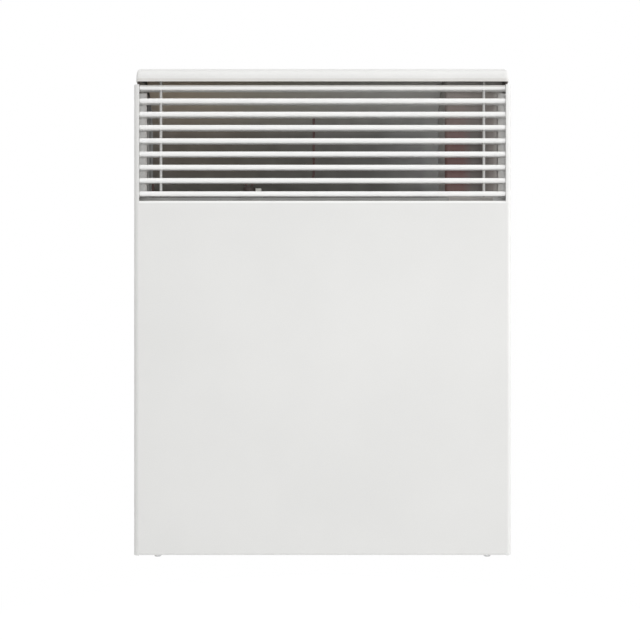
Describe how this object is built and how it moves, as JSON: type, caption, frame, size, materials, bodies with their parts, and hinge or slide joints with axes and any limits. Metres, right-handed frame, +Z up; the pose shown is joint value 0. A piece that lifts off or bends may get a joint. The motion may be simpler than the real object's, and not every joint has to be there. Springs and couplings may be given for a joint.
{
  "type": "convector heater",
  "caption": "Slim wall-hung electric convector heater: white folded-steel casing, louvred warm-air outlet under a rounded cap, recessed top controls and a tilt-forward wall bracket.",
  "frame": {"origin": "middle of the wall bracket's four screw holes, on the wall plane", "axes": "+Z up, +Y into the wall, so the front faces -Y, and +X to the right seen from the front"},
  "size_m": [0.342, 0.08, 0.4446],
  "materials": {
    "white_enamel": "fine powder coat",
    "grille_enamel": "bright fine powder coat",
    "zinc_sheet": "galvanised sheet",
    "warm_sheet": "aluminised sheet, tinted by heat",
    "bracket_enamel": "powder coat",
    "plain_steel": "zinc plated",
    "element_alloy": "extruded, dull",
    "ceramic": "unglazed steatite",
    "dark_plastic": "fine texture",
    "brown_plastic": "moulded phenolic",
    "white_plastic": "satin",
    "silicone": "silicone sleeve",
    "board": "lacquered laminate",
    "lamp_lens": "clear red lens"
  },
  "bodies": {
    "wall_bracket": {"bracket_frame": "bracket_enamel", "hook_left": "bracket_enamel", "hook_right": "bracket_enamel", "latch_rivets": "plain_steel"},
    "latch_left": {"latch_left": "bracket_enamel"},
    "latch_right": {"latch_right": "bracket_enamel"},
    "knob": {"thermostat_knob": "white_plastic", "thermostat_spindle": "plain_steel"},
    "rocker": {"power_rocker": "white_plastic"},
    "heater": {"air_deflector": "warm_sheet", "back_panel": "zinc_sheet", "cable_gland": "dark_plastic", "cap_joint_left": "dark_plastic", "cap_joint_right": "dark_plastic", "circuit_board": "board", "control_bezel": "white_plastic", "control_housing": "brown_plastic", "cutout_bracket": "zinc_sheet", "cutout_insulator": "ceramic", "cutout_lead": "silicone", "element_bracket_left": "zinc_sheet", "element_bracket_right": "zinc_sheet", "element_bush_left": "ceramic", "element_bush_right": "ceramic", "element_lead_left": "silicone", "element_lead_right": "silicone", "element_terminals": "plain_steel", "front_panel": "white_enamel", "gland_nut": "dark_plastic", "grille_posts": "grille_enamel", "heat_shield": "warm_sheet", "heating_element": "element_alloy", "hinge_clip_left": "zinc_sheet", "hinge_clip_right": "zinc_sheet", "indicator_lens": "lamp_lens", "inlet_grid": "zinc_sheet", "louvre_blade_1": "grille_enamel", "louvre_blade_2": "grille_enamel", "louvre_blade_3": "grille_enamel", "louvre_blade_4": "grille_enamel", "louvre_blade_5": "grille_enamel", "louvre_blade_6": "grille_enamel", "louvre_blade_7": "grille_enamel", "louvre_blade_8": "grille_enamel", "louvre_blade_9": "grille_enamel", "partition": "zinc_sheet", "pivot_pins": "plain_steel", "rear_screws": "plain_steel", "regulator": "dark_plastic", "sensor_clip": "dark_plastic", "sensor_lead": "silicone", "supply_leads": "silicone", "switch_frame": "dark_plastic", "temperature_sensor": "silicone", "terminal_block": "white_plastic", "thermal_cutout": "dark_plastic", "tie_bar_left": "grille_enamel", "tie_bar_right": "grille_enamel", "toe_screws": "plain_steel", "top_cap": "white_enamel"}
  },
  "joints": [
    {"name": "body_tilt", "type": "hinge", "parent": "wall_bracket", "child": "heater", "pos_m": [0, -0.02, -0.155], "axis": [1, 0, 0], "range_deg": [0, 20]},
    {"name": "latch_left_turn", "type": "hinge", "parent": "wall_bracket", "child": "latch_left", "pos_m": [-0.094, -0.022, 0.13], "axis": [0, 0, 1], "range_deg": [0, 90]},
    {"name": "latch_right_turn", "type": "hinge", "parent": "wall_bracket", "child": "latch_right", "pos_m": [0.094, -0.022, 0.13], "axis": [0, 0, 1], "range_deg": [-90, 0]},
    {"name": "thermostat_turn", "type": "hinge", "parent": "heater", "child": "knob", "pos_m": [0.1308, -0.0386, 0.2636], "axis": [0, 0, 1], "range_deg": [-135, 135]},
    {"name": "power_rock", "type": "hinge", "parent": "heater", "child": "rocker", "pos_m": [0.151, -0.046, 0.2588], "axis": [1, 0, 0], "range_deg": [0, 14]}
  ]
}
